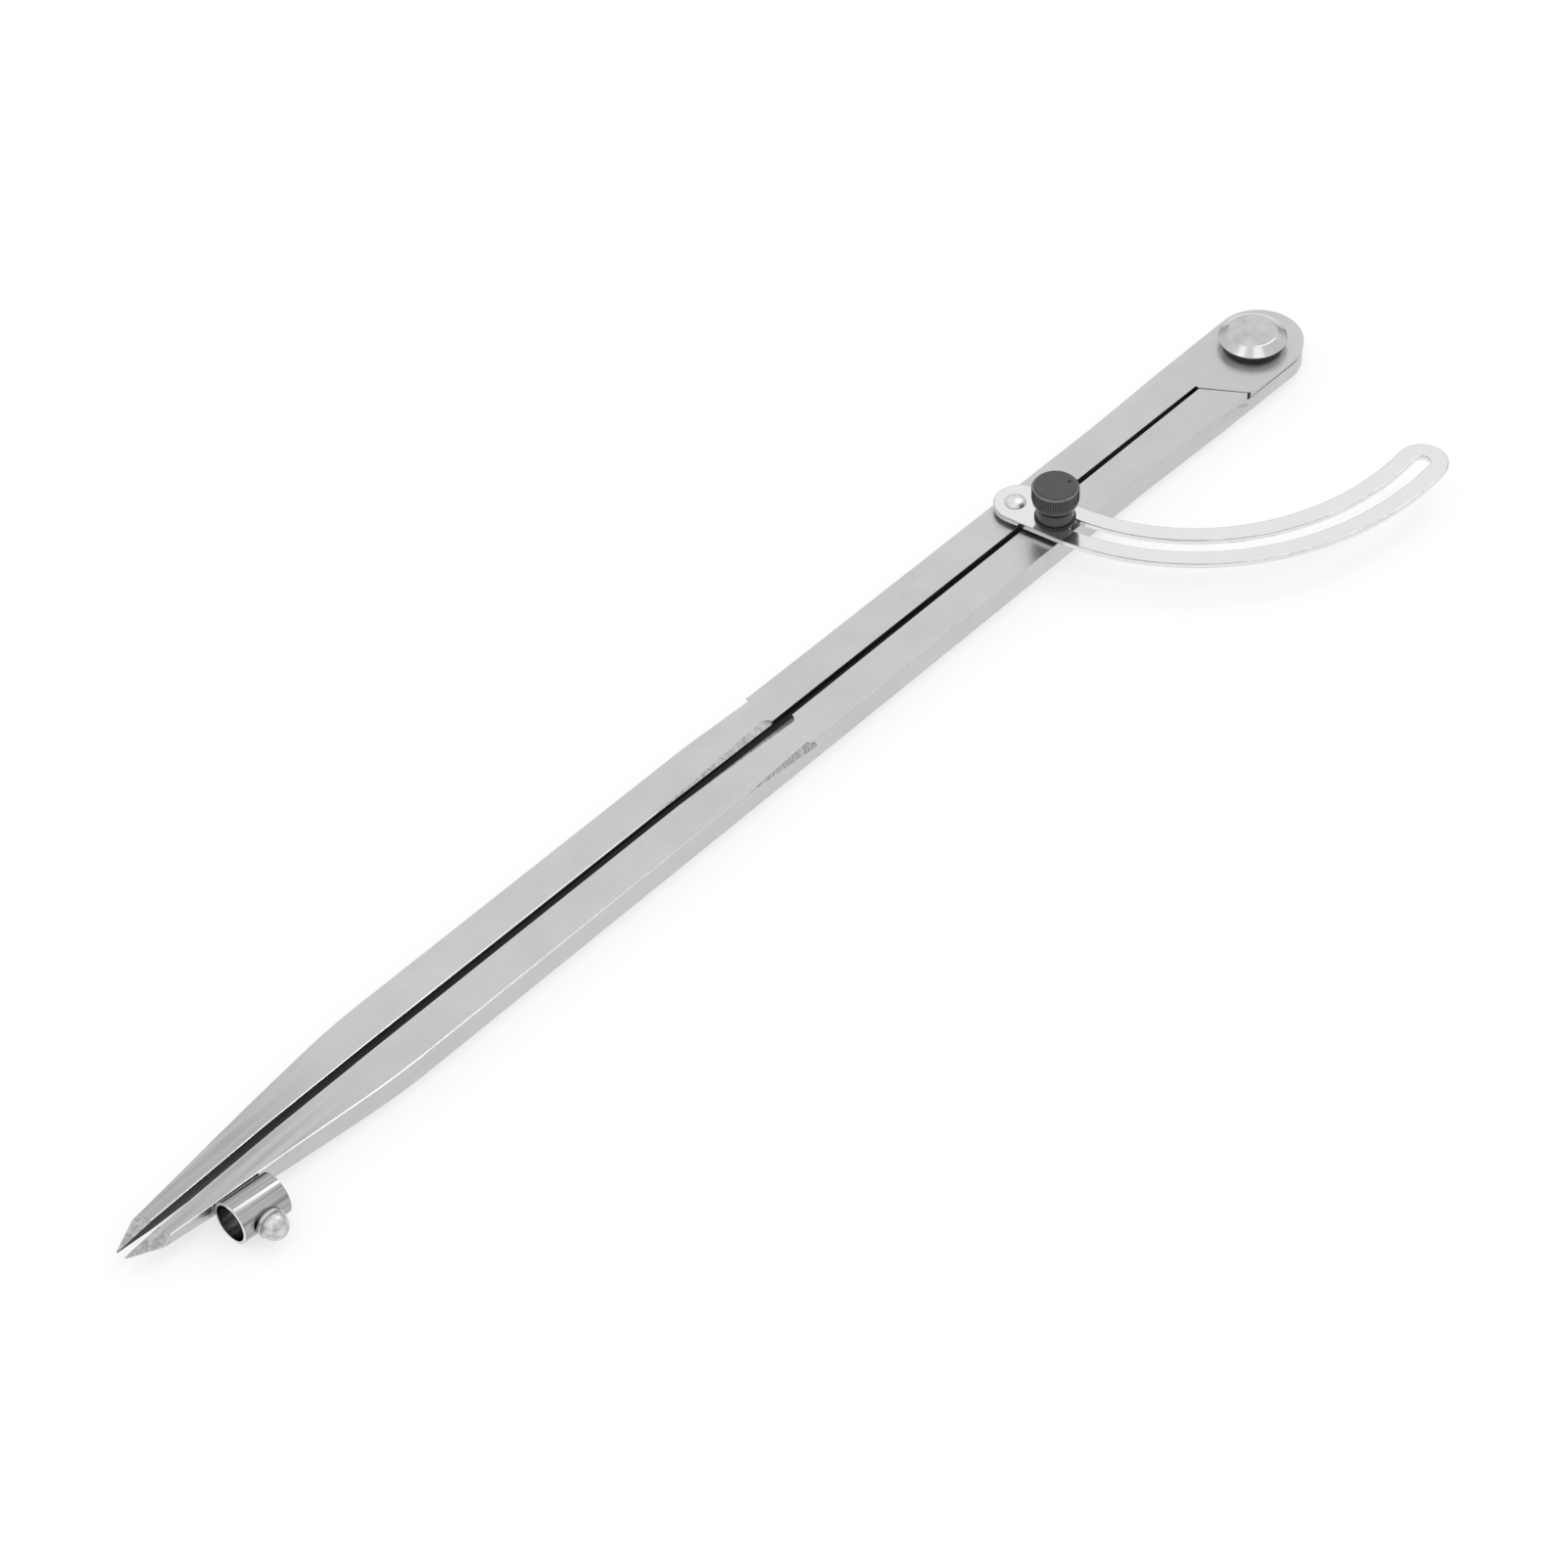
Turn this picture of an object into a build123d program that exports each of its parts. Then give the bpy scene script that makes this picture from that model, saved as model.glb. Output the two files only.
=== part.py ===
from build123d import *
import os
from math import cos, radians, sin, sqrt

# Wing compass with a pencil holder: two forged legs on a lap joint, a slotted wing and a clamp knob.
#
# Frame, in millimetres: the origin is on the head pivot's axis, in the plane that the compass lies on.
# +X runs from the points to the head, +Y to the side of the left leg, +Z up. The legs are drawn as
# they lie at rest, opened a little: rest_half_angle each side of the X axis.

# ---- driving dimensions: legs ---------------------------------------------------------------
reach = 335.0                # pivot axis to the points
lift = 1.7                   # the legs' undersides stand this far above the rest plane
leg_thickness = 5.6
rest_half_angle = 0.16       # degrees that each leg is opened at rest
slit_half_head = 0.46        # inner face to the X axis when closed, at the head
slit_half_shoulder = 0.47
slit_half_mid = 0.24
slit_half_tip = 0.05
mid_station = 250.0          # where the inner face reaches slit_half_mid
head_radius = 9.35
head_centre = (2.2, -0.1)    # centre of the round end of the left leg's ear
shoulder = 150.0             # stations along the leg, measured from the pivot
half_width_shoulder = 8.75
half_width_lower = 8.62
half_width_waist = 8.52
waist_station = 43.0
flare_station = 22.0
half_width_flare = 9.0
taper_start = 270.5
point_start = 328.0          # where the points' sides start
half_width_point = 3.12
ground_start = 326.2         # where the points' upper and lower faces start
ground_step = 0.16           # these faces are ground this much below the legs' faces
point_flat = 0.22            # the points are blunted by this much
ear_thickness = 1.7          # of the left leg's ear, which lies over the right leg's
lap_gap = 0.08               # half of the play between the two ears
seam_gap = 0.2               # play between an ear's end and the other leg's step
seam_inner = (-18.4, -0.35)  # the ear's end runs from the slit to the outer side
seam_outer = (-12.6, -9.45)
thin_start = 268.0           # the legs get thinner from here to the points
thin_mid = (296.0, 2.42)     # station and half thickness
thin_end = 1.2               # half thickness where the points' ground faces start
thin_tip = 0.12

# stopped chamfers that run out below the shoulder: length, depth across, depth down
outer_stop = (23.0, 0.95, 2.1)
inner_stop = (34.0, 1.6, 0.95)
left_stops = (148.6, 151.9)   # stations at which the outer and the inner chamfer start
right_stops = (149.9, 147.9)
stop_nose_r = 1.9            # the cutter's radius where a chamfer starts

# ---- driving dimensions: pivot, wing and clamp ----------------------------------------------
pivot_shank_r = 3.5
rivet_rim_r = 7.3
rivet_foot_r = 6.3           # the head's underside widens from here to its rim
rivet_flat_r = 5.15
rivet_rim_height = 1.08
rivet_rim_wall = 0.15
rivet_crown_height = 1.62
rivet_hole_r = 3.52          # in the right leg, in which the shank stays fixed
washer_r = 6.3
washer_thickness = 0.9
lower_washer_thickness = 0.6
running = 0.05               # radial clearance of a pin in its hole

wing_pin = (-72.3, 4.56)
clamp_axis = (-70.5, -4.55)
swing_ratio = 0.232          # wing swing over leg opening
slot_end_angle = 65.5        # opening at which the clamp's axis is at the centre of the slot's end
slot_start_angle = -0.9
wing_head = (-71.8, 3.75)    # centre of the wing's round end over its pin
wing_neck_angle = 2.0        # from here to its other end the wing keeps to the slot's path
wing_half_width = 5.47
slot_half_width = 1.66
wing_thickness = 1.2
spacer_thickness = 0.8
flat_gap = 0.02              # play between flat faces that slide on each other
wing_rivet_shank_r = 1.5
wing_rivet_head_r = 2.3
wing_rivet_head_height = 1.1
spacer_r = 3.6

stud_r = 1.45
stud_hole_r = 1.5
stud_end_height = 0.6        # the stud's lower end above the rest plane
clamp_washer_r = 4.3
clamp_washer_thickness = 0.5
neck_r = 3.95
neck_height = 2.55
groove_r = 3.4
groove_height = 0.55
knob_r = 4.95
knob_foot = [(4.1, 0.0), (4.5, 0.4), (4.8, 1.0)]   # radius and height above the groove
knob_foot_height = 1.75
knob_edge_chamfer = 0.7
knob_height = 5.25           # above the groove
stud_in_knob = 3.6           # how far the stud reaches into the knob above the groove
dimple_r = 0.55
dimple_depth = 0.3
dimple_place = (2.46, -1.63)   # from the knob's axis

# ---- driving dimensions: pencil holder ------------------------------------------------------
holder_r = 4.5
holder_bore_r = 3.9
holder_length = 11.2
holder_angle = 5.5           # degrees that the tube leans away from the X axis
holder_mouth = (-316.2, -9.78)
screw_station = 5.6          # from the mouth of the tube
pencil_stud_r = 1.25
pencil_hole_r = 1.3
pencil_tip_inside = -0.05    # the screw's tip stands just inside the wall, out of the bore
collar_r = 3.25
collar_thickness = 0.75
collar_gap = 0.3             # between the collar and the tube
ball_r = 2.85
ball_centre = -6.15          # from the tube's axis
braze_half_height = 1.3
braze_gap = 0.12             # thickness of the braze where the tube is nearest to the leg

z_mid = lift + leg_thickness / 2
z_top = lift + leg_thickness
z_lap = z_top - ear_thickness
z_wing = z_top + spacer_thickness
z_wing_top = z_wing + wing_thickness


# ---- helpers --------------------------------------------------------------------------------
def rod(radius, low, high, place=(0, 0)):
    """Upright cylinder between two heights."""
    return Pos(place[0], place[1], (low + high) / 2) * Cylinder(radius, high - low)


def ring(outer, inner, low, high, place=(0, 0)):
    """Upright washer or collar between two heights."""
    return rod(outer, low, high, place) - rod(inner, low - 1, high + 1, place)


def turned(points, place=(0, 0)):
    """Solid of revolution about an upright axis, from (radius, height) points."""
    outline = make_face(Polyline(*[(r, 0, z) for r, z in points], close=True))
    return Pos(place[0], place[1], 0) * revolve(outline, Axis.Z)


def slab(outline, low, high):
    """Flat face extruded between two heights."""
    return Pos(0, 0, low) * extrude(outline, high - low)


def save(node, shape):
    """Write one node's STEP file."""
    export_step(shape, f"parts/{node}.step")


os.makedirs("parts", exist_ok=True)


# ---- legs -----------------------------------------------------------------------------------
def round_corners(outline, corners):
    """Round the outline's corners nearest to the given points: [(x, y, radius), ...]."""
    for x, y, radius in corners:
        corner = outline.vertices().sort_by_distance((x, y, 0))[0]
        outline = fillet(corner, radius)
    return outline


def leg_outline(inner_end):
    """Plan of the left leg when closed, from its point to the station inner_end near the head."""
    points = [
        (-inner_end, slit_half_head),
        (-shoulder, slit_half_shoulder),
        (-mid_station, slit_half_mid),
        (-reach, slit_half_tip),
        (-reach, slit_half_tip + point_flat),
        (-point_start, half_width_point),
        (-taper_start, half_width_lower),
        (-shoulder, half_width_shoulder),
        (-waist_station, half_width_waist),
        (-flare_station, half_width_flare),
        (-inner_end, half_width_flare + 0.1),
    ]
    outline = make_face(Polyline(*points, close=True))
    corners = [
        (-taper_start, half_width_lower, 180),
        (-waist_station, half_width_waist, 120),
    ]
    return round_corners(outline, corners)


def ear_outline():
    """Plan of the left leg's ear, which covers the whole head."""
    cx, cy = head_centre
    own_side = Line((seam_inner[0], half_width_flare + 0.05), (cx, cy + head_radius))
    nose = ThreePointArc((cx, cy + head_radius), (cx + head_radius, cy), (cx, cy - head_radius))
    far_side = Line((cx, cy - head_radius), seam_outer)
    seam = Line(seam_outer, seam_inner)
    close = Line(seam_inner, (seam_inner[0], half_width_flare + 0.05))
    outline = make_face(Wire([own_side, nose, far_side, seam, close]))
    return round_corners(outline, [(*seam_outer, 0.5)])


def beyond_step():
    """Plan of everything on the head's side of the left leg's own step."""
    (x0, y0), (x1, y1) = seam_inner, seam_outer
    length = sqrt((x1 - x0) ** 2 + (y1 - y0) ** 2)
    ux, uy = (x1 - x0) / length, -(y1 - y0) / length
    nx, ny = -uy * seam_gap, ux * seam_gap
    start = (x0 + nx - 3 * ux, -y0 + ny - 3 * uy)
    end = (x1 + nx + 6 * ux, -y1 + ny + 6 * uy)
    corners = [(end[0] + 30, end[1]), (30, start[1] - 4), (start[0], start[1] - 4)]
    return make_face(Polyline(start, end, *corners, close=True))


def side_profile():
    """The leg's thickness along its length, as a solid to intersect with."""
    half = leg_thickness / 2
    top = [
        (30, half),
        (-thin_start, half),
        (-thin_mid[0], thin_mid[1]),
        (-ground_start, thin_end),
        (-ground_start, thin_end - ground_step),
        (-reach, thin_tip),
    ]
    points = [(x, 0, z_mid + h) for x, h in top] + [(x, 0, z_mid - h) for x, h in reversed(top)]
    outline = make_face(Polyline(*points, close=True))
    return extrude(outline, 20, both=True)


def stopped_chamfer(station, edge_y, outward, upward, size):
    """Cutter for a chamfer that starts round at a station and runs out along an edge of the leg."""
    length, across, down = size
    edge_z = z_top if upward > 0 else lift
    start = Vector(-station, edge_y - outward * across, edge_z)
    low = Vector(-station, edge_y, edge_z - upward * down)
    run_out = Vector(-station - length, edge_y, edge_z)
    normal = (low - start).cross(run_out - start).normalized()
    if normal.Y * outward < 0:
        normal = -normal
    along = normal.cross(low - start).normalized()
    if along.X > 0:
        along = -along
    facet = Plane(low, x_dir=along, z_dir=normal) * Pos(stop_nose_r, 0, 0)
    nose = facet * Cylinder(stop_nose_r, 5, align=(Align.CENTER, Align.CENTER, Align.MIN))
    return nose + facet * Box(60, 24, 5, align=(Align.MIN, Align.CENTER, Align.MIN))


def make_leg(upward, ear_floor, stops):
    """The left leg when closed: full stock up to its step, and an upper ear over the head.

    The ear's underside is at ear_floor. The stopped chamfers start at the two stations in stops, and
    are on the leg's upper edges, or on its lower ones when upward is -1.
    """
    outer_station, inner_station = stops
    stock = slab(leg_outline(8.0), lift, z_top) - slab(beyond_step(), lift - 1, z_top + 1)
    ear = slab(ear_outline(), ear_floor, z_top)
    neck = slab(leg_outline(-seam_inner[0]), ear_floor, z_top)
    leg = (stock + neck + ear) & side_profile()
    leg -= stopped_chamfer(outer_station, half_width_shoulder, 1, upward, outer_stop)
    return leg - stopped_chamfer(inner_station, slit_half_shoulder, -1, upward, inner_stop)


left_leg = make_leg(1, z_lap + lap_gap, left_stops) - rod(pivot_shank_r + running, 0, 20)
left_leg = Rot(0, 0, -rest_half_angle) * left_leg
left_leg -= rod(wing_rivet_shank_r, 0, 20, wing_pin)

right_leg = make_leg(-1, 2 * z_mid - z_lap + lap_gap, right_stops)
right_leg = Pos(0, 0, z_mid) * Rot(180, 0, 0) * Pos(0, 0, -z_mid) * right_leg
right_leg = Rot(0, 0, rest_half_angle) * right_leg
right_leg -= rod(rivet_hole_r, 0, 20)
right_leg -= rod(stud_hole_r, 0, 20, clamp_axis)

save("left_leg", left_leg)
save("right_leg", right_leg)


# ---- head rivet and its washers -------------------------------------------------------------
z_head = z_top + flat_gap + washer_thickness
head_rivet = turned([
    (0, 0),
    (rivet_flat_r, 0),
    (rivet_rim_r - 0.25, 0.65),
    (rivet_rim_r, 0.9),
    (rivet_rim_r, lift - lower_washer_thickness),
    (pivot_shank_r, lift - lower_washer_thickness),
    (pivot_shank_r, z_head),
    (rivet_foot_r, z_head),
    (rivet_rim_r, z_head + rivet_rim_height),
    (rivet_rim_r, z_head + rivet_rim_height + rivet_rim_wall),
    (rivet_flat_r, z_head + rivet_rim_height + rivet_crown_height),
    (0, z_head + rivet_rim_height + rivet_crown_height),
])
save("head_rivet", head_rivet)
save("head_washer", ring(washer_r, pivot_shank_r, z_top + flat_gap, z_head))
save("head_washer_lower", ring(washer_r, pivot_shank_r, lift - lower_washer_thickness, lift))


# ---- wing -----------------------------------------------------------------------------------
def turn(point, angle):
    """Turn a plan point about the origin by an angle in degrees."""
    c, s = cos(radians(angle)), sin(radians(angle))
    return (c * point[0] - s * point[1], s * point[0] + c * point[1])


def slot_path(opening):
    """Where the clamp axis stands in the wing when the legs are opened by an angle from rest.

    The left leg turns clockwise by the opening and the wing turns a further swing_ratio times that
    about its own pin, so the path is the clamp axis turned back by both.
    """
    x, y = turn(clamp_axis, opening)
    dx, dy = turn((x - wing_pin[0], y - wing_pin[1]), swing_ratio * opening)
    return (wing_pin[0] + dx, wing_pin[1] + dy)


def path_side(first, last, offset, steps):
    """Points beside the slot's path, offset to its left (seen along the path)."""
    points = []
    for i in range(steps + 1):
        opening = first + (last - first) * i / steps
        x, y = slot_path(opening)
        x0, y0 = slot_path(opening - 0.5)
        x1, y1 = slot_path(opening + 0.5)
        length = sqrt((x1 - x0) ** 2 + (y1 - y0) ** 2)
        points.append((x - (y1 - y0) / length * offset, y + (x1 - x0) / length * offset))
    return points


def band(first, last, half_width, low, high):
    """Round-ended band of constant width along the slot's path."""
    steps = max(4, round((last - first) / 6))
    left = path_side(first, last, half_width, steps)
    right = path_side(first, last, -half_width, steps)
    ends = []
    for opening, before in ((first, 1), (last, -1)):
        x, y = slot_path(opening)
        x1, y1 = slot_path(opening + before)
        length = sqrt((x1 - x) ** 2 + (y1 - y) ** 2)
        ends.append((x - (x1 - x) / length * half_width, y - (y1 - y) / length * half_width))
    outline = Wire([
        Spline(*left),
        ThreePointArc(left[-1], ends[1], right[-1]),
        Spline(*reversed(right)),
        ThreePointArc(right[0], ends[0], left[0]),
    ])
    return slab(make_face(outline), low, high)


wing_ends = [Pos(*centre) * Circle(wing_half_width) for centre in (wing_head, slot_path(wing_neck_angle))]
wing = band(wing_neck_angle, slot_end_angle, wing_half_width, z_wing, z_wing_top)
wing += slab(make_hull(Sketch(children=wing_ends).edges()), z_wing, z_wing_top)
wing -= band(slot_start_angle, slot_end_angle, slot_half_width, z_wing - 1, z_wing_top + 1)
wing -= rod(wing_rivet_shank_r + running, 0, 20, wing_pin)
save("wing", wing)


def dome(radius, height, base):
    """Spherical cap on a flat base, rising by height (downwards where height is negative)."""
    rise = abs(height)
    sphere_r = (radius ** 2 + rise ** 2) / (2 * rise)
    way = 1 if height > 0 else -1
    cap = Pos(0, 0, base + height - way * sphere_r) * Sphere(sphere_r)
    return cap & rod(radius, min(base, base + height), max(base, base + height))


wing_rivet = rod(wing_rivet_shank_r, lift, z_wing_top + flat_gap)
wing_rivet += dome(wing_rivet_head_r, wing_rivet_head_height, z_wing_top + flat_gap)
wing_rivet += dome(wing_rivet_head_r + 0.3, -(lift + 0.25), lift) & Pos(0, 0, 5) * Box(20, 20, 10)
save("wing_rivet", Pos(*wing_pin, 0) * wing_rivet)
save("wing_spacer", ring(spacer_r, wing_rivet_shank_r, z_top, z_wing - flat_gap, wing_pin))
save("clamp_spacer", ring(spacer_r, stud_r + running, z_top, z_wing - flat_gap, clamp_axis))


# ---- clamp knob -----------------------------------------------------------------------------
z_neck = z_wing_top + flat_gap + clamp_washer_thickness
z_groove = z_neck + neck_height
z_knob = z_groove + groove_height
z_knob_top = z_knob + knob_height
stud_top = z_knob + stud_in_knob
clamp_knob = turned([
    (stud_r, z_neck),
    (neck_r, z_neck),
    (neck_r, z_groove),
    (groove_r, z_groove),
    (groove_r, z_knob),
    *[(r, z_knob + z) for r, z in knob_foot],
    (knob_r, z_knob + knob_foot_height),
    (knob_r, z_knob_top - knob_edge_chamfer),
    (knob_r - knob_edge_chamfer, z_knob_top),
    (0, z_knob_top),
    (0, stud_top),
    (stud_r, stud_top),
], clamp_axis)
dimple = (clamp_axis[0] + dimple_place[0], clamp_axis[1] + dimple_place[1])
clamp_knob -= rod(dimple_r, z_knob_top - dimple_depth, z_knob_top + 1, dimple)
save("clamp_knob", clamp_knob)

clamp_stud = rod(stud_r, stud_end_height, stud_top, clamp_axis)
stud_foot = clamp_stud.edges().filter_by(GeomType.CIRCLE).sort_by(Axis.Z)[0]
save("clamp_stud", chamfer(stud_foot, 0.4))
clamp_washer = ring(clamp_washer_r, stud_r, z_wing_top + flat_gap, z_neck, clamp_axis)
save("clamp_washer", clamp_washer)


# ---- pencil holder --------------------------------------------------------------------------
# The tube's own frame: X along the tube from its mouth, Y towards the leg.
tube_frame = Pos(*holder_mouth, z_mid) * Rot(0, 0, -holder_angle)
along = Rot(0, 90, 0)
tube = Pos(holder_length / 2, 0, 0) * along * (
    Cylinder(holder_r, holder_length) - Cylinder(holder_bore_r, holder_length + 2))
tube -= Pos(screw_station, -holder_r, 0) * Rot(90, 0, 0) * Cylinder(pencil_hole_r, 4)
pencil_holder = tube_frame * tube
save("pencil_holder", pencil_holder)

braze = Box(holder_length - 1.2, 2.2, 2 * braze_half_height)
braze = Pos(holder_length / 2, holder_r + braze_gap - 0.5, 0) * braze
braze -= Pos(holder_length / 2, 0, 0) * along * Cylinder(holder_r, holder_length + 2)
braze = tube_frame * braze - right_leg
save("holder_braze", braze.solids().sort_by(SortBy.VOLUME)[-1])

collar_face = -(holder_r + collar_gap)
ball_face = collar_face - collar_thickness - flat_gap
stud_inner = pencil_tip_inside - holder_bore_r


def across_rod(radius, near, far):
    """Cylinder on the pencil screw's axis, between two distances from the tube's axis."""
    return Pos(screw_station, (near + far) / 2, 0) * Rot(90, 0, 0) * Cylinder(radius, abs(far - near))


collar = across_rod(collar_r, collar_face, collar_face - collar_thickness)
collar -= across_rod(pencil_stud_r + running, collar_face + 1, collar_face - collar_thickness - 1)
save("pencil_screw_collar", tube_frame * collar)

outside = Pos(screw_station, ball_face, 0) * Box(20, 20, 20, align=(Align.CENTER, Align.MAX, Align.CENTER))
ball = Pos(screw_station, ball_centre, 0) * Sphere(ball_r) & outside
save("pencil_screw", tube_frame * (across_rod(pencil_stud_r, stud_inner, ball_centre) + ball))
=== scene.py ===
from math import cos, pi, radians, sin, sqrt

import bmesh
import bpy
from mathutils import Matrix, Vector


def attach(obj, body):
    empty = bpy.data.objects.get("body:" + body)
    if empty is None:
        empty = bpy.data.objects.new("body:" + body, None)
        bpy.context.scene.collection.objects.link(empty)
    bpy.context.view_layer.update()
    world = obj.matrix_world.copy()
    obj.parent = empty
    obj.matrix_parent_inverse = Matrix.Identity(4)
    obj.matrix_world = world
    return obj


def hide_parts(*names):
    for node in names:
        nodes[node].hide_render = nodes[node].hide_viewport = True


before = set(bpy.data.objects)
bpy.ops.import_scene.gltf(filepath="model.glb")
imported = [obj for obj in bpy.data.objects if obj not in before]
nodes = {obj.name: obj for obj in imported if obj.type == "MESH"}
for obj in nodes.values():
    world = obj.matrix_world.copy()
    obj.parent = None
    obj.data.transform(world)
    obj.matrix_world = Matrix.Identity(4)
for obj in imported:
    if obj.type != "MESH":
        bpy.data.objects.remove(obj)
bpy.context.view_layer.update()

MM = 0.001

# ---- sizes shared with the model, in millimetres ----------------------------------------------
SHOULDER = 150.0                      # the stopped chamfers begin about this far from the pivot
CHAMFER_RUN = 40.0
POINT_START = 326.0                   # the ground points, whose edges stay sharp
SEAM_END = 12.8                       # the lap between the ears runs this far towards the points
LAP_HEIGHT = 5.6                      # where the left leg's ear lies on the right leg's
WING_PIN = (-72.3, 4.56)
CLAMP = (-70.5, -4.55)
HOLDER_MOUTH = (-316.2, -9.78, 4.5)
HOLDER_ANGLE = radians(5.5)
HOLDER_BORE = 3.9
HOLDER_RADIUS = 4.5
HOLDER_LENGTH = 11.2
SCREW_STATION = HOLDER_LENGTH / 2     # the pencil screw is halfway along the tube
SCREW_RADIUS = 1.3
GAP_SHADOW_EDGE = 1.9                      # the gap's shadow is painted on the tube from this far towards the leg
PIN_RADIUS = 1.5                      # the wing's pin and the clamp's stud
SPACER_LOW = 7.3
SPACER_HIGH = 8.08
WING_TOP = 9.32
LATHE_SHARP = 40.0                    # turned pieces stay sharp past this angle, in degrees


# ---- mesh tools -------------------------------------------------------------------------------
def place_object(name, mesh):
    """A new object at the origin, with its place in its mesh."""
    piece = bpy.data.objects.new(name, mesh)
    bpy.context.scene.collection.objects.link(piece)
    return piece


def made_plain(piece):
    """The piece with its modifiers turned into mesh."""
    graph = bpy.context.evaluated_depsgraph_get()
    mesh = bpy.data.meshes.new_from_object(
        piece.evaluated_get(graph), preserve_all_data_layers=True, depsgraph=graph)
    mesh.name = piece.name
    plain = place_object(piece.name + "_plain", mesh)
    name = piece.name
    bpy.data.objects.remove(piece)
    plain.name = name
    return plain


def shade(mesh, angle=30.0):
    """Smooth faces that stay sharp where they meet at more than an angle in degrees."""
    mesh.polygons.foreach_set("use_smooth", [True] * len(mesh.polygons))
    mesh.set_sharp_from_angle(angle=radians(angle))


def even_normals(piece):
    """Weighted normals, so that large flats stay flat beside small rounded edges."""
    weighted = piece.modifiers.new("even_normals", "WEIGHTED_NORMAL")
    weighted.keep_sharp = True
    weighted.weight = 100
    return made_plain(piece)


def mark_faces(mesh, label, chosen):
    """A face attribute that is 1 where chosen(face) holds and 0 elsewhere."""
    mask = mesh.attributes.new(label, "FLOAT", "FACE")
    mask.data.foreach_set("value", [float(chosen(face)) for face in mesh.polygons])


def is_slanted(normal):
    """Whether a face with this normal is neither flat nor upright."""
    return 0.25 < abs(normal.z) < 0.93


def near_lap(z):
    """Whether a height in metres is that of the lap between the ears."""
    return abs(z / MM - LAP_HEIGHT) < 0.3


def is_bevel(face):
    """Whether the bevel made this face, which it gives the second material slot."""
    return face.material_index == 1


def broken_edges(node, name, width, fine_width, leg_masks=False):
    """A copy of a CAD node with its sharp edges broken by a small rounded bevel.

    The bevel is width mm, and fine_width mm between the head and the shoulder, except along the lap
    between the ears, which ends at the seam. Face attributes mark the bevels, which the finishes paint
    with edge highlights (dark lines on the wing), ground_facet a leg's stopped chamfers, and the faces
    in its slit, lap and seam, which get painted shade.
    """
    shape = bmesh.new()
    shape.from_mesh(nodes[node].data)
    bmesh.ops.remove_doubles(shape, verts=shape.verts, dist=2e-6)
    bmesh.ops.dissolve_limit(shape, angle_limit=radians(0.3), verts=shape.verts, edges=shape.edges)
    if leg_masks:
        everything = shape.verts[:] + shape.edges[:] + shape.faces[:]
        bmesh.ops.bisect_plane(shape, geom=everything, plane_co=(-SEAM_END * MM, 0, 0), plane_no=(1, 0, 0))
    bmesh.ops.recalc_face_normals(shape, faces=shape.faces)
    slanted = set()
    for face in shape.faces:
        face.material_index = 0
        if is_slanted(face.normal):
            slanted.update(face.verts)
    share = shape.edges.layers.float.new("bevel_weight_edge")
    for edge in shape.edges:
        if len(edge.link_faces) != 2 or not edge.is_convex or edge.calc_face_angle() < radians(28):
            continue
        on_point = max(vert.co.x for vert in edge.verts) < -POINT_START * MM
        on_facet = edge.verts[0] in slanted and edge.verts[1] in slanted
        if not on_point and not on_facet:
            middle = (edge.verts[0].co.x + edge.verts[1].co.x) / 2
            on_lap = all(near_lap(vert.co.z) for vert in edge.verts)
            if not on_lap:
                edge[share] = 1.0 if middle < -SHOULDER * MM else fine_width / width
            elif middle > -SEAM_END * MM:
                edge[share] = 1.0
    mesh = bpy.data.meshes.new(name)
    shape.to_mesh(mesh)
    shape.free()
    piece = place_object(name, mesh)
    mesh.materials.append(None)
    mesh.materials.append(None)
    bevel = piece.modifiers.new("broken_edges", "BEVEL")
    bevel.limit_method = "WEIGHT"
    bevel.width = width * MM
    bevel.segments = 2
    bevel.use_clamp_overlap = False
    bevel.material = 1
    piece = made_plain(piece)
    mesh = piece.data
    mark_faces(mesh, "painted_edge_light", is_bevel)
    if leg_masks:
        mark_faces(mesh, "ground_facet", on_stopped_chamfer)
        mark_faces(mesh, "slit_painted_shade", in_slit)
    for face in mesh.polygons:
        face.material_index = 0
    shade(mesh)
    return even_normals(piece)


def on_stopped_chamfer(face):
    """Whether a leg's face belongs to one of its stopped chamfers."""
    tilted = is_slanted(face.normal) and abs(face.normal.x) < 0.4
    in_reach = -SHOULDER - CHAMFER_RUN < face.center.x / MM < -SHOULDER + 3.0
    return tilted and in_reach and not is_bevel(face)


def in_slit(face):
    """Whether a leg's face lies in the slit, in the lap between the ears or in the ear's seam, all painted
    dark as painted shade.
    """
    middle = face.center / MM
    inner = abs(face.normal.y) > 0.97 and abs(middle.y) < 1.2 and middle.x < -19.0
    on_lap = middle.x > -SEAM_END and near_lap(face.center.z) and abs(face.normal.z) < 0.99
    on_seam = -19.5 < middle.x < -11.5 and -10.0 < middle.y < 0.2
    faces_seam = abs(face.normal.x * 0.84 + face.normal.y * 0.54) > 0.6
    return (inner and not is_bevel(face)) or on_lap or (on_seam and faces_seam)


def rounded(profile, steps=4, support=0.03):
    """Points of a profile whose corners are rounded: profile holds (radius, height, rounding)."""
    points = []
    last = len(profile) - 1
    for i, (r, z, rounding) in enumerate(profile):
        here = Vector((r, z))
        if rounding == 0.0 or i in (0, last):
            points.append(here)
            continue
        back = (Vector(profile[i - 1][:2]) - here).normalized()
        on = (Vector(profile[i + 1][:2]) - here).normalized()
        start = here + back * rounding
        end = here + on * rounding
        points.append(start + back * support)
        for k in range(steps + 1):
            t = k / steps
            points.append(start * (1 - t) ** 2 + here * 2 * t * (1 - t) + end * t ** 2)
        points.append(end + on * support)
    return points


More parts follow.
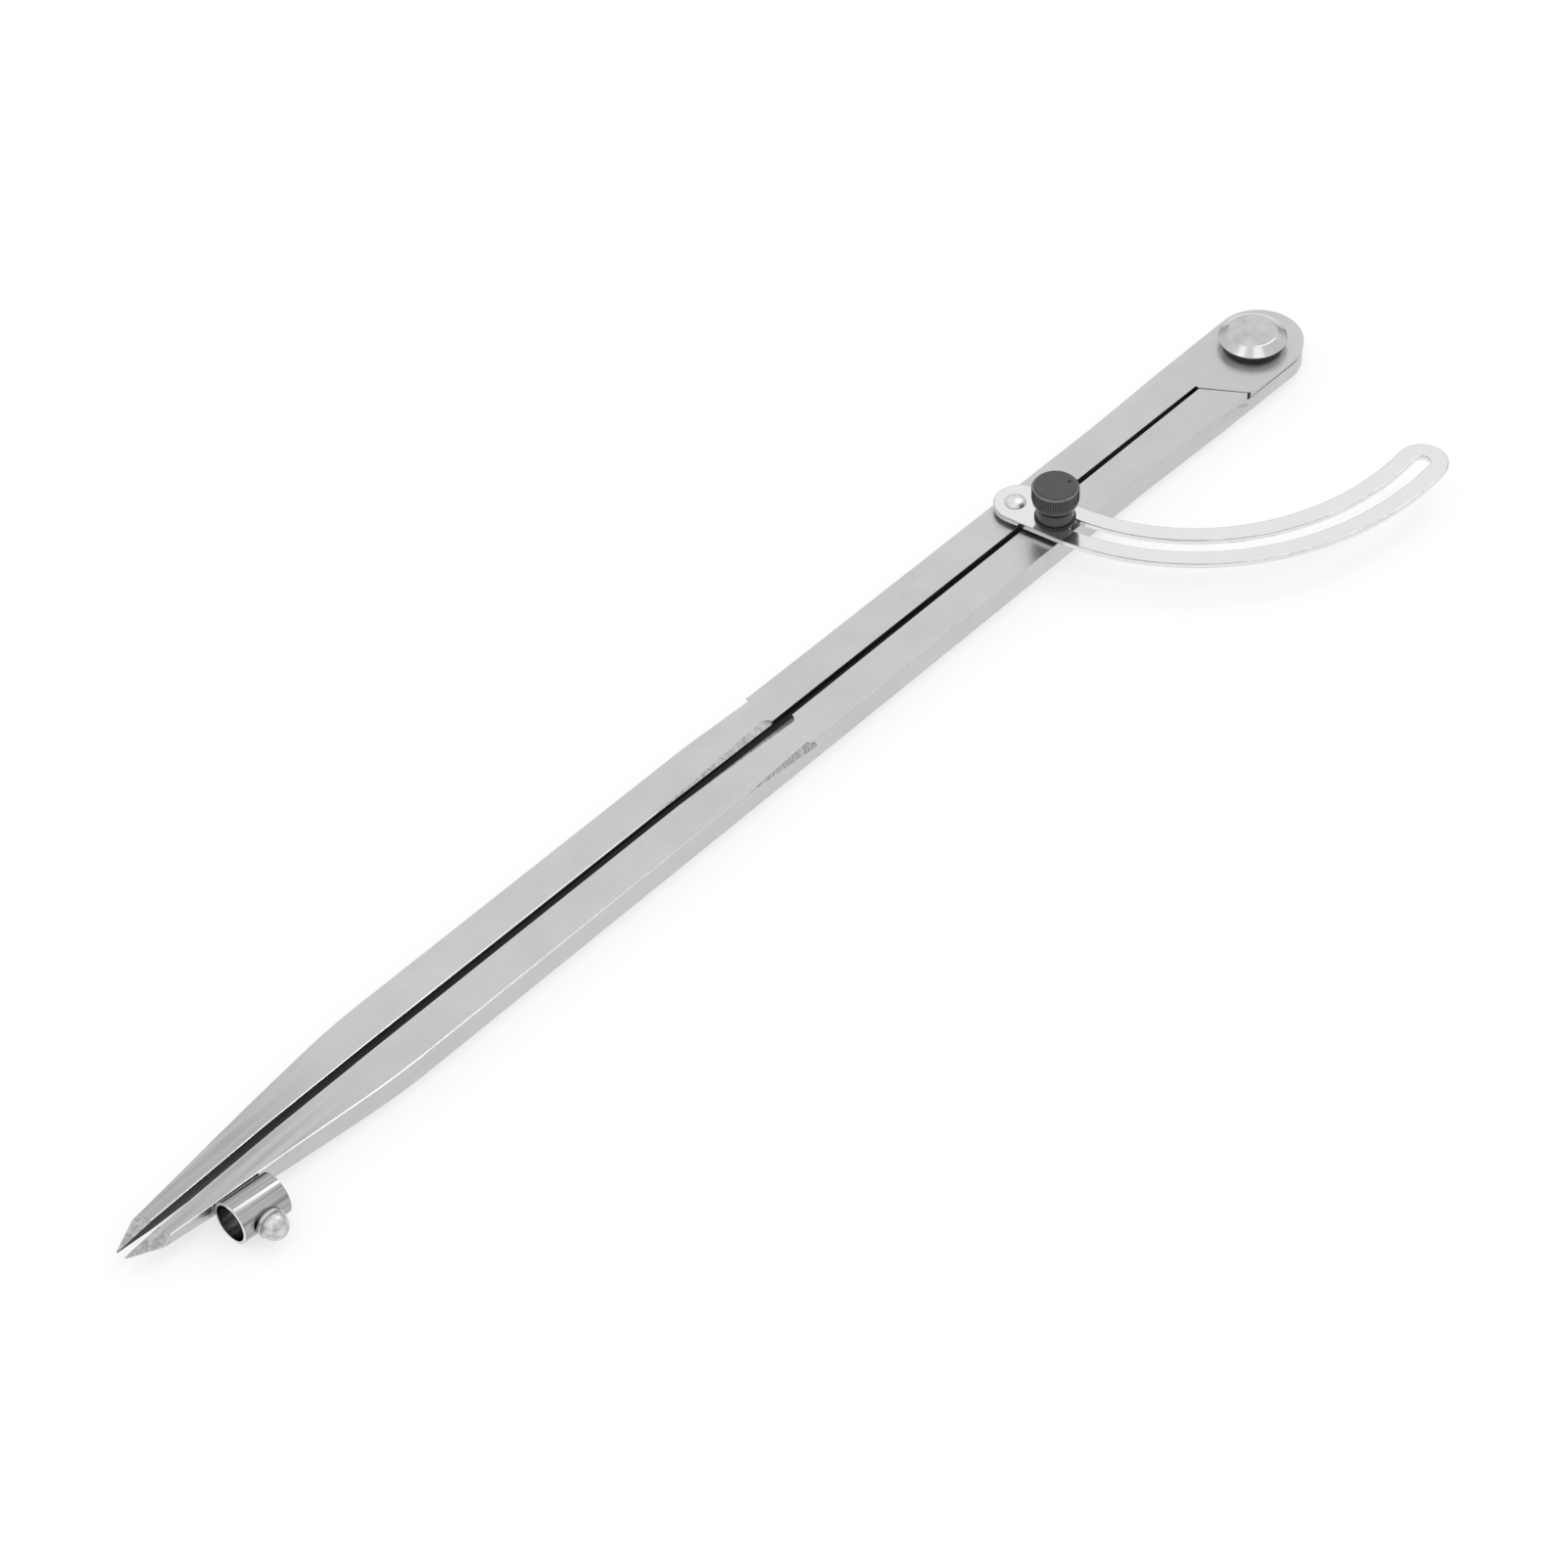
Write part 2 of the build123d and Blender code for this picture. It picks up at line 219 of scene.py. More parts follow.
def lathe(name, profile, segments=96, matrix=Matrix()):
    """Closed solid of revolution about Z from (radius, height, rounding) in millimetres.

    A profile that starts and ends at radius zero gets two poles; any other is joined end to end.
    """
    points = rounded(profile)
    poles = profile[0][0] == 0.0
    shape = bmesh.new()
    rings = []
    for point in points:
        if point.x < 1e-6:
            rings.append([shape.verts.new((0, 0, point.y * MM))])
            continue
        ring = []
        for i in range(segments):
            a = 2 * pi * i / segments
            ring.append(shape.verts.new((point.x * cos(a) * MM, point.x * sin(a) * MM, point.y * MM)))
        rings.append(ring)
    pairs = list(zip(rings, rings[1:]))
    if not poles:
        pairs.append((rings[-1], rings[0]))
    for low, high in pairs:
        for i in range(segments):
            j = (i + 1) % segments
            if len(low) == 1:
                shape.faces.new((low[0], high[j], high[i]))
            elif len(high) == 1:
                shape.faces.new((low[i], low[j], high[0]))
            else:
                shape.faces.new((low[i], low[j], high[j], high[i]))
    bmesh.ops.recalc_face_normals(shape, faces=shape.faces)
    shape.transform(matrix)
    mesh = bpy.data.meshes.new(name)
    shape.to_mesh(mesh)
    shape.free()
    shade(mesh, LATHE_SHARP)
    return place_object(name, mesh)


def cut(piece, cutter):
    """The piece with the cutter's space taken away."""
    modifier = piece.modifiers.new("cut", "BOOLEAN")
    modifier.operation = "DIFFERENCE"
    modifier.solver = "EXACT"
    modifier.object = cutter
    plain = made_plain(piece)
    bpy.data.objects.remove(cutter)
    return plain


def at(x, y):
    """Shift along X and Y in millimetres."""
    return Matrix.Translation((x * MM, y * MM, 0))


# ---- shader tools -----------------------------------------------------------------------------
class Wiring:
    """Short calls for building a node tree."""

    def __init__(self, tree):
        self.tree = tree
        self.column = 0

    def node(self, kind, **settings):
        made = self.tree.nodes.new(kind)
        made.location = (self.column * 190, -(self.column % 5) * 160)
        self.column += 1
        for key, value in settings.items():
            if key.startswith("in_"):
                made.inputs[int(key[3:])].default_value = value
            else:
                setattr(made, key, value)
        return made

    def link(self, out, into):
        self.tree.links.new(out, into)

    def math(self, operation, a, b=None):
        made = self.node("ShaderNodeMath", operation=operation)
        for i, value in enumerate((a, b)):
            if value is None:
                continue
            if isinstance(value, (int, float)):
                made.inputs[i].default_value = value
            else:
                self.link(value, made.inputs[i])
        return made.outputs[0]

    def remap(self, value, low, high, to_low, to_high):
        made = self.node("ShaderNodeMapRange", in_1=low, in_2=high, in_3=to_low, in_4=to_high)
        self.link(value, made.inputs[0])
        return made.outputs[0]

    def blend(self, factor, a, b):
        made = self.node("ShaderNodeMix", data_type="RGBA")
        if isinstance(factor, (int, float)):
            made.inputs[0].default_value = factor
        else:
            self.link(factor, made.inputs[0])
        for i, value in ((6, a), (7, b)):
            if isinstance(value, tuple):
                made.inputs[i].default_value = (*value, 1.0)
            else:
                self.link(value, made.inputs[i])
        return made.outputs[2]


def new_group(name, inputs, outputs):
    """Shader node group with float inputs {name: value} and the named outputs."""
    tree = bpy.data.node_groups.new(name, "ShaderNodeTree")
    for label, value in inputs.items():
        kind = "NodeSocketVector" if value is None else "NodeSocketFloat"
        socket = tree.interface.new_socket(label, in_out="INPUT", socket_type=kind)
        if value is not None:
            socket.default_value = value
    for label in outputs:
        tree.interface.new_socket(label, in_out="OUTPUT", socket_type="NodeSocketFloat")
    wires = Wiring(tree)
    start = wires.node("NodeGroupInput")
    end = wires.node("NodeGroupOutput")
    return tree, wires, start, end


def grain_group():
    """Fine lines along X, as a belt or a polishing wheel leaves them."""
    inputs = {"Place": None, "Along": 60.0, "Across": 5000.0, "Breaks": 0.5}
    tree, w, start, end = new_group("grain_lines", inputs, ["Lines", "Coarse"])
    scale = w.node("ShaderNodeCombineXYZ")
    w.link(start.outputs["Along"], scale.inputs[0])
    w.link(start.outputs["Across"], scale.inputs[1])
    w.link(start.outputs["Across"], scale.inputs[2])
    stretched = w.node("ShaderNodeVectorMath", operation="MULTIPLY")
    w.link(start.outputs["Place"], stretched.inputs[0])
    w.link(scale.outputs[0], stretched.inputs[1])
    fine = w.node("ShaderNodeTexNoise", in_2=1.0, in_3=3.0)
    w.link(stretched.outputs[0], fine.inputs["Vector"])
    w.link(start.outputs["Breaks"], fine.inputs["Roughness"])
    wide = w.node("ShaderNodeTexNoise", in_2=0.22, in_3=2.0)
    w.link(stretched.outputs[0], wide.inputs["Vector"])
    w.link(fine.outputs[0], end.inputs["Lines"])
    w.link(wide.outputs[0], end.inputs["Coarse"])
    return tree


def smudge_group():
    """Broad faint patches of handling and uneven polish."""
    tree, w, start, end = new_group("smudges", {"Place": None, "Size": 40.0}, ["Patches"])
    noise = w.node("ShaderNodeTexNoise", in_3=4.0, in_4=0.55)
    w.link(start.outputs["Place"], noise.inputs["Vector"])
    w.link(start.outputs["Size"], noise.inputs["Scale"])
    w.link(noise.outputs[0], end.inputs["Patches"])
    return tree


def edge_light_group():
    """Painted edge light: the marked bevel faces, broken up along their length, for highlights or dark
    lines.
    """
    tree, w, start, end = new_group("edge_light_paint", {"Place": None, "Size": 300.0}, ["Worn"])
    edge = w.node("ShaderNodeAttribute", attribute_name="painted_edge_light")
    noise = w.node("ShaderNodeTexNoise", in_3=3.0, in_4=0.6)
    w.link(start.outputs["Place"], noise.inputs["Vector"])
    w.link(start.outputs["Size"], noise.inputs["Scale"])
    broken = w.remap(noise.outputs[0], 0.35, 0.6, 0.55, 1.0)
    w.link(w.math("MULTIPLY", edge.outputs["Fac"], broken), end.inputs["Worn"])
    return tree


def cross_group():
    """Crossed grinding marks on the stopped chamfers."""
    tree, w, start, end = new_group("cross_marks", {"Place": None, "Pitch": 1500.0}, ["Marks", "Facet"])
    facet = w.node("ShaderNodeAttribute", attribute_name="ground_facet")
    heights = []
    for turn in (0.62, -0.62):
        turned = w.node("ShaderNodeVectorRotate", rotation_type="Z_AXIS")
        turned.inputs["Angle"].default_value = turn
        w.link(start.outputs["Place"], turned.inputs["Vector"])
        scale = w.node("ShaderNodeCombineXYZ", in_1=0.06, in_2=0.06)
        scale.inputs[0].default_value = 1.0
        stretched = w.node("ShaderNodeVectorMath", operation="MULTIPLY")
        w.link(turned.outputs[0], stretched.inputs[0])
        w.link(scale.outputs[0], stretched.inputs[1])
        noise = w.node("ShaderNodeTexNoise", in_3=1.0)
        w.link(stretched.outputs[0], noise.inputs["Vector"])
        w.link(start.outputs["Pitch"], noise.inputs["Scale"])
        heights.append(noise.outputs[0])
    both = w.remap(w.math("MINIMUM", heights[0], heights[1]), 0.3, 0.55, 0.0, 1.0)
    w.link(w.math("MULTIPLY", both, facet.outputs["Fac"]), end.inputs["Marks"])
    w.link(facet.outputs["Fac"], end.inputs["Facet"])
    return tree


grain_lines = grain_group()
smudges = smudge_group()
edge_light_paint = edge_light_group()
cross_marks = cross_group()


class Finish:
    """One material: its Principled shader and the groups placed in it."""

    def __init__(self, name):
        self.material = bpy.data.materials.new(name)
        self.material.use_nodes = True
        self.w = Wiring(self.material.node_tree)
        self.shader = self.material.node_tree.nodes["Principled BSDF"]
        self.place = self.w.node("ShaderNodeTexCoord").outputs["Object"]

    def group(self, tree, **values):
        made = self.w.node("ShaderNodeGroup", node_tree=tree)
        for key, value in values.items():
            made.inputs[key].default_value = value
        self.w.link(self.place, made.inputs["Place"])
        return made.outputs

    def set(self, **values):
        for key, value in values.items():
            self.shader.inputs[key.replace("_", " ")].default_value = value

    def wire(self, out, label):
        self.w.link(out, self.shader.inputs[label])

    def bump(self, height, strength, distance):
        made = self.w.node("ShaderNodeBump")
        made.inputs["Strength"].default_value = strength
        made.inputs["Distance"].default_value = distance
        self.w.link(height, made.inputs["Height"])
        self.wire(made.outputs[0], "Normal")


def cool_grey(tone):
    """A grey that is very slightly blue."""
    return tone, tone, tone + 0.005


# Where a leg's finish changes: places along X in metres, from the pivot towards the point.
# Over this span the leg turns darker towards the points, most on its flat faces.
DARKER_POINTS = (-0.275, -0.302)
# Over this span the leg's bevels take on their painted highlights and lower roughness.
EDGE_GLINT_SPAN = (-0.16, -0.26)
POINT_EDGE = (-0.3258, -0.3266)
# Painted shade for the faces in the slit, the lap and the seam.
SLIT_SHADE_TONE = (0.07, 0.068, 0.066)


def leg_finish():
    """Satin nickel over belt-ground steel, with painted edge highlights and painted shade in the slit."""
    f = Finish("leg_satin_steel")
    grain = f.group(grain_lines, Along=55.0, Across=2600.0, Breaks=0.5)
    patches = f.group(smudges, Size=30.0)["Patches"]
    blotches = f.group(smudges, Size=150.0)["Patches"]
    edge_light = f.group(edge_light_paint, Size=260.0)["Worn"]
    cross = f.group(cross_marks, Pitch=2300.0)
    inside = f.w.node("ShaderNodeAttribute", attribute_name="slit_painted_shade").outputs["Fac"]
    station = f.w.node("ShaderNodeSeparateXYZ")
    f.w.link(f.place, station.inputs[0])
    facing = f.w.node("ShaderNodeSeparateXYZ")
    f.w.link(f.w.node("ShaderNodeNewGeometry").outputs["Normal"], facing.inputs[0])
    flat = f.w.remap(f.w.math("ABSOLUTE", facing.outputs[2]), 0.3, 0.9, 0.3, 1.0)
    # Darker and streaked towards the points, most on the flat faces, less on the points themselves.
    darker_points = f.w.math("MULTIPLY", f.w.remap(station.outputs[0], *DARKER_POINTS, 0.0, 1.0), flat)
    darker_points = f.w.math("MULTIPLY", darker_points, f.w.remap(station.outputs[0], *POINT_EDGE, 1.0, 0.45))
    edge_glint_ramp = f.w.remap(station.outputs[0], *EDGE_GLINT_SPAN, 0.0, 0.95)
    base = f.w.blend(f.w.remap(grain["Lines"], 0.3, 0.7, 0.0, 1.0), cool_grey(0.53), cool_grey(0.57))
    tinted = f.w.blend(f.w.remap(patches, 0.35, 0.65, 0.0, 0.6), base, cool_grey(0.61))
    tinted = f.w.blend(f.w.remap(blotches, 0.45, 0.7, 0.0, 0.4), tinted, cool_grey(0.51))
    streaks = f.w.remap(grain["Coarse"], 0.35, 0.65, 0.0, 1.0)
    streaked = f.w.blend(streaks, cool_grey(0.40), cool_grey(0.52))
    tinted = f.w.blend(darker_points, tinted, streaked)
    facet = f.w.blend(cross["Marks"], (0.36, 0.36, 0.362), cool_grey(0.58))
    tinted = f.w.blend(cross["Facet"], tinted, facet)
    on_point = f.w.remap(station.outputs[0], *POINT_EDGE, 0.0, 1.0)
    pits = f.w.remap(f.group(smudges, Size=900.0)["Patches"], 0.42, 0.6, 0.0, 0.8)
    tinted = f.w.blend(f.w.math("MULTIPLY", pits, on_point), tinted, cool_grey(0.30))
    # Painted highlight: the bevels are painted brighter towards the points.
    bright = f.w.blend(f.w.math("MULTIPLY", edge_light, edge_glint_ramp), tinted, cool_grey(0.86))
    # Painted shade: faces in the slit, lap and seam are painted near black.
    f.wire(f.w.blend(inside, bright, SLIT_SHADE_TONE), "Base Color")
    f.set(Metallic=1.0)
    rough = f.w.remap(grain["Coarse"], 0.3, 0.7, 0.27, 0.33)
    rough = f.w.math("ADD", rough, f.w.remap(patches, 0.35, 0.7, -0.02, 0.03))
    dulled = f.w.remap(edge_glint_ramp, 0.0, 0.95, 0.3, -0.05)
    rough = f.w.math("ADD", rough, f.w.math("MULTIPLY", edge_light, dulled))
    rough = f.w.math("ADD", rough, f.w.math("MULTIPLY", cross["Facet"], 0.15))
    rough = f.w.math("ADD", rough, f.w.math("MULTIPLY", inside, 0.2))
    f.wire(rough, "Roughness")
    height = f.w.math("ADD", grain["Lines"], f.w.math("MULTIPLY", cross["Marks"], 5.0))
    f.bump(height, 0.15, 0.00001)
    return f.material


def plate_finish(name, color, rough_low, rough_high, edge=0.95, streak=0.0, turn=0.0):
    """Bright plate: nearly a mirror, with polishing lines along a direction and a soft unevenness.

    Faces marked for the gap's shadow are painted nearly black, as painted shade between tube and leg.
    edge is the tone painted on its bevels (a painted highlight when pale, painted dark lines when low),
    streak how far the lines darken it, and turn the angle of the lines from X in radians.
    """
    f = Finish(name)
    turned = f.w.node("ShaderNodeVectorRotate", rotation_type="Z_AXIS")
    turned.inputs["Angle"].default_value = -turn
    f.w.link(f.place, turned.inputs["Vector"])
    plain = f.place
    f.place = turned.outputs[0]
    grain = f.group(grain_lines, Along=40.0, Across=1500.0, Breaks=0.5)
    f.place = plain
    patches = f.group(smudges, Size=90.0)["Patches"]
    edge_light = f.group(edge_light_paint, Size=260.0)["Worn"]
    dim = tuple(c * 0.95 for c in color)
    dark = tuple(c * 0.42 for c in color)
    base = f.w.blend(patches, color, dim)
    base = f.w.blend(f.w.remap(grain["Lines"], 0.4, 0.65, 0.0, streak), base, dark)
    # Painted shadow: faces beside the leg are painted nearly black.
    gap_shadow = f.w.node("ShaderNodeAttribute", attribute_name="gap_painted_shadow").outputs["Fac"]
    base = f.w.blend(gap_shadow, base, (0.02, 0.019, 0.018))
    # Painted light on the bevels in the edge tone: highlights on the tube's rim, dark lines on the wing.
    f.wire(f.w.blend(f.w.math("MULTIPLY", edge_light, 0.8), base, (edge, edge, edge)), "Base Color")
    f.set(Metallic=1.0)
    f.wire(f.w.remap(patches, 0.3, 0.7, rough_low, rough_high), "Roughness")
    height = f.w.math("ADD", f.w.math("MULTIPLY", grain["Lines"], 0.4 + 0.8 * streak), patches)
    f.bump(height, 0.25, 0.00001)
    return f.material


def cast_finish(name, low, high, rough_low, rough_high):
    """Dull plate over a tumbled, slightly pitted surface, between two tones."""
    f = Finish(name)
    patches = f.group(smudges, Size=800.0)["Patches"]
    f.wire(f.w.blend(f.w.remap(patches, 0.4, 0.6, 0.0, 1.0), low, high), "Base Color")
    f.set(Metallic=1.0)
    f.wire(f.w.remap(patches, 0.3, 0.7, rough_low, rough_high), "Roughness")
    f.bump(patches, 0.5, 0.00004)
    return f.material


def turned_finish():
    """Turned and tumbled rivet steel."""
    f = Finish("rivet_turned_steel")
    patches = f.group(smudges, Size=260.0)["Patches"]
    broad = f.group(smudges, Size=70.0)["Patches"]
    base = f.w.blend(f.w.remap(patches, 0.35, 0.65, 0.0, 1.0), cool_grey(0.49), cool_grey(0.61))
    f.wire(base, "Base Color")
    f.set(Metallic=1.0)
    f.wire(f.w.remap(broad, 0.3, 0.7, 0.12, 0.2), "Roughness")
    f.bump(patches, 0.25, 0.00003)
    return f.material


def black_finish(name, color, pale, rough_low, rough_high):
    """Black oxide or lacquer, paler on its marked edges as a painted highlight."""
    f = Finish(name)
    patches = f.group(smudges, Size=420.0)["Patches"]
    edge_light = f.group(edge_light_paint, Size=900.0)["Worn"]
    base = f.w.blend(patches, color, tuple(c * 1.35 for c in color))
    f.wire(f.w.blend(f.w.math("MULTIPLY", edge_light, 0.6), base, pale), "Base Color")
    f.wire(f.w.remap(patches, 0.3, 0.7, rough_low, rough_high), "Roughness")
    f.bump(patches, 0.3, 0.00002)
    return f.material


def braze_finish():
    """Filed silver braze, a little uneven."""
    f = Finish("silver_braze")
    patches = f.group(smudges, Size=900.0)["Patches"]
    f.wire(f.w.blend(patches, (0.32, 0.31, 0.29), (0.5, 0.48, 0.44)), "Base Color")
    f.set(Metallic=1.0)
    f.wire(f.w.remap(patches, 0.3, 0.7, 0.35, 0.55), "Roughness")
    f.bump(patches, 0.5, 0.0001)
    return f.material


leg_steel = leg_finish()
# edge=0.36 paints the wing's bevels dark: painted dark reflection lines along its outlines.
wing_plate = plate_finish("wing_nickel_plate", cool_grey(0.80), 0.10, 0.16, edge=0.36)
# The tube's ends take the default pale edge tone: a painted highlight.
tube_plate = plate_finish(
    "holder_chrome_plate", cool_grey(0.45), 0.12, 0.17, streak=0.65, turn=-HOLDER_ANGLE)
ball_plate = cast_finish("ball_plate", cool_grey(0.50), cool_grey(0.72), 0.34, 0.46)
dome_plate = cast_finish("wing_rivet_plate", cool_grey(0.66), cool_grey(0.76), 0.36, 0.44)
rivet_steel = turned_finish()
# The pale tone paints a highlight on the knob's rounded top rim.
knob_black = black_finish("knob_black_oxide", (0.042, 0.042, 0.043), (0.38, 0.36, 0.36), 0.30, 0.42)
# The knurl is a darker copy of the knob's black: painted shade that keeps the knob's side darker than its
# top.
knurl_black_shaded = black_finish("knurl_oxide_painted_shade", (0.011, 0.011, 0.012), (0.16, 0.16, 0.16), 0.34, 0.44)
# Near black washers; under the head rivet the tone is painted shade for the gap under the rim.
washer_black_and_shade = black_finish("washer_black_and_shade", (0.008, 0.008, 0.008), (0.03, 0.03, 0.03), 0.4, 0.55)
braze = braze_finish()


def finished(piece, material, body, slot, *replaced):
    """Gives a finished piece its material, its body and the CAD nodes that it stands for."""
    piece.data.materials.clear()
    piece.data.materials.append(material)
    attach(piece, body)
    if replaced:
        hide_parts(*replaced)
    return piece


# ---- legs -------------------------------------------------------------------------------------
for side in ("left_leg", "right_leg"):
    leg = broken_edges(side, side + "_ground", 0.22, 0.07, leg_masks=True)
    finished(leg, leg_steel, side, "leg_steel", side)


# ---- head rivet and washers -------------------------------------------------------------------
z_foot = 1.1
z_head = 8.22
z_rim = 9.30
z_flat = z_rim + 1.62
RIVET_RIM = 7.3
RIVET_FLAT = 5.15
RIVET_SHANK = 3.5
HEAD_WASHER = 6.3
head_rivet = lathe("head_rivet_formed", [
    (0, 0, 0),
    (RIVET_FLAT, 0, 0.15),
    (7.05, 0.65, 0.1),
    (RIVET_RIM, 0.9, 0.1),
    (RIVET_RIM, z_foot, 0.05),
    (RIVET_SHANK, z_foot, 0),
    (RIVET_SHANK, z_head, 0),
    (HEAD_WASHER, z_head, 0.05),
    (RIVET_RIM, z_rim, 0.06),
    (RIVET_RIM, z_rim + 0.15, 0.06),
    (RIVET_FLAT, z_flat, 0.22),
    (0, z_flat, 0),
], 144)
finished(head_rivet, rivet_steel, "right_leg", "rivet_steel", "head_rivet")


def washer(name, outer, inner, low, high, place, material, body, slot):
    """Flat ring with broken edges that stands for the CAD node of the same name."""
    piece = lathe(name + "_turned", [
        (inner, low, 0),
        (outer, low, 0.06),
        (outer, high, 0.06),
        (inner, high, 0),
    ], 96, at(*place))
    return finished(piece, material, body, slot, name)


# Painted shade: the head washer's near-black tone stands for the shade under the rivet's rim.
washer("head_washer", HEAD_WASHER, RIVET_SHANK, 7.32, z_head, (0, 0), washer_black_and_shade, "right_leg",
       "black_washer")
washer("head_washer_lower", HEAD_WASHER, RIVET_SHANK, z_foot, 1.7, (0, 0), washer_black_and_shade, "right_leg",
       "black_washer")
washer("wing_spacer", 3.6, PIN_RADIUS, SPACER_LOW, SPACER_HIGH, WING_PIN, rivet_steel, "left_leg",
       "rivet_steel")
washer("clamp_spacer", 3.6, PIN_RADIUS, SPACER_LOW, SPACER_HIGH, CLAMP, rivet_steel, "right_leg",
       "rivet_steel")
washer("clamp_washer", 4.3, PIN_RADIUS, WING_TOP, 9.82, CLAMP, washer_black_and_shade, "clamp_washer",
       "black_washer")


# ---- wing -------------------------------------------------------------------------------------
wing = broken_edges("wing", "wing_plated", 0.2, 0.2)
finished(wing, wing_plate, "wing", "wing_chrome", "wing")

wing_rivet = lathe("wing_rivet_formed", [
    (0, 0, 0),
    (1.6, 0.15, 0.3),
    (2.5, 1.2, 0.3),
    (2.55, 1.7, 0),
    (PIN_RADIUS, 1.7, 0),
    (PIN_RADIUS, WING_TOP, 0),
    (2.3, WING_TOP, 0.05),
    (2.25, 9.5, 0.1),
    (1.9, 9.9, 0.25),
    (1.2, 10.26, 0.35),
    (0.5, 10.40, 0.25),
    (0, 10.42, 0),
], 72, at(*WING_PIN))
finished(wing_rivet, dome_plate, "left_leg", "rivet_steel", "wing_rivet")


# ---- clamp knob -------------------------------------------------------------------------------
z_neck = 9.82
z_groove = 12.37
z_knob = 12.92
z_knob_top = 18.17
CORE = 4.84                           # the knob's radius between its ridges
RIDGE_COUNT = 64
RIDGE_TOP = 4.94                      # the knob's radius over its ridges
RIDGE = 0.22                          # from a ridge's middle to its corners
knob = lathe("clamp_knob_turned", [
    (0, z_knob + 3.6, 0),
    (1.45, z_knob + 3.6, 0),
    (1.45, z_neck, 0),
    (3.95, z_neck, 0.12),
    (3.95, z_groove, 0.1),
    (3.4, z_groove, 0.05),
    (3.4, z_knob, 0.05),
    (4.1, z_knob, 0.1),
    (4.5, z_knob + 0.4, 0.15),
    (4.8, z_knob + 1.0, 0.2),
    (CORE, z_knob + 1.75, 0.15),
    (CORE, z_knob_top - 0.62, 0.3),
    (4.25, z_knob_top, 0.15),
    (0, z_knob_top, 0),
], 144, at(*CLAMP))
dimple = lathe("dimple", [
    (0, z_knob_top - 0.3, 0),
    (0.45, z_knob_top - 0.25, 0.1),
    (0.55, z_knob_top + 1.0, 0),
    (0, z_knob_top + 1.0, 0),
], 32, at(CLAMP[0] + 2.46, CLAMP[1] - 1.63))
knob = cut(knob, dimple)
shade(knob.data, LATHE_SHARP)


def on_knob_rim(face):
    """Whether a face of the knob lies on the rounding of its top edge."""
    below_top = z_knob_top - face.center.z / MM
    return 0.3 < below_top < 0.8 and 0.1 < face.normal.z < 0.97


# Painted highlight: the knob's finish pales the rounding of its top edge.
mark_faces(knob.data, "painted_edge_light", on_knob_rim)
finished(knob, knob_black, "clamp_knob", "knob_black", "clamp_knob")


def knurl_tree():
    """Geometry nodes: upright ridges in a ring about Z."""
    tree = bpy.data.node_groups.new("knurl", "GeometryNodeTree")
    sockets = {}
    inputs = (
        ("Count", "NodeSocketInt", 60),
        ("Radius", "NodeSocketFloat", 0.0048),
        ("Height", "NodeSocketFloat", 0.003),
        ("Width", "NodeSocketFloat", 0.0003),
        ("Middle", "NodeSocketVector", (0, 0, 0)),
        ("Material", "NodeSocketMaterial", None),
    )
    for label, kind, value in inputs:
        socket = tree.interface.new_socket(label, in_out="INPUT", socket_type=kind)
        if value is not None:
            socket.default_value = value
        sockets[label] = socket.identifier
    tree.interface.new_socket("Geometry", in_out="OUTPUT", socket_type="NodeSocketGeometry")
    w = Wiring(tree)
    start = w.node("NodeGroupInput")
    circle = w.node("GeometryNodeMeshCircle")
    w.link(start.outputs["Count"], circle.inputs["Vertices"])
    w.link(start.outputs["Radius"], circle.inputs["Radius"])
    size = w.node("ShaderNodeCombineXYZ")
    w.link(start.outputs["Width"], size.inputs[0])
    w.link(start.outputs["Width"], size.inputs[1])
    w.link(start.outputs["Height"], size.inputs[2])
    bar = w.node("GeometryNodeMeshCube")
    w.link(size.outputs[0], bar.inputs["Size"])
    cornered = w.node("GeometryNodeTransform")
    w.link(bar.outputs[0], cornered.inputs["Geometry"])
    cornered.inputs["Rotation"].default_value = (0, 0, pi / 4)
    place = w.node("GeometryNodeInputPosition")
    outward = w.node("FunctionNodeAlignRotationToVector", axis="X")
    w.link(place.outputs[0], outward.inputs["Vector"])
    placed = w.node("GeometryNodeInstanceOnPoints")
    w.link(circle.outputs[0], placed.inputs["Points"])
    w.link(cornered.outputs[0], placed.inputs["Instance"])
    w.link(outward.outputs[0], placed.inputs["Rotation"])
    moved = w.node("GeometryNodeTransform")
    w.link(placed.outputs[0], moved.inputs["Geometry"])
    w.link(start.outputs["Middle"], moved.inputs["Translation"])
    real = w.node("GeometryNodeRealizeInstances")
    w.link(moved.outputs[0], real.inputs[0])
    painted = w.node("GeometryNodeSetMaterial")
    w.link(real.outputs[0], painted.inputs["Geometry"])
    w.link(start.outputs["Material"], painted.inputs["Material"])
    end = w.node("NodeGroupOutput")
    w.link(painted.outputs[0], end.inputs[0])
    return tree, sockets


def grown(name, tree, sockets, **values):
    """The plain mesh that a geometry-node tree makes with the given inputs."""
    piece = place_object(name, bpy.data.meshes.new(name))
    modifier = piece.modifiers.new(name, "NODES")
    modifier.node_group = tree
    for label, value in values.items():
        modifier[sockets[label]] = value
    return made_plain(piece)


knurl, knurl_sockets = knurl_tree()
ridge_low = z_knob + 1.7
ridge_high = z_knob_top - 0.62
ridges = grown(
    "clamp_knob_knurl",
    knurl,
    knurl_sockets,
    Count=RIDGE_COUNT,
    Radius=(RIDGE_TOP - RIDGE) * MM,
    Height=(ridge_high - ridge_low) * MM,
    Width=RIDGE * sqrt(2) * MM,
    Middle=(CLAMP[0] * MM, CLAMP[1] * MM, (ridge_low + ridge_high) / 2 * MM),
    Material=knurl_black_shaded,
)
finished(ridges, knurl_black_shaded, "clamp_knob", "knob_black")


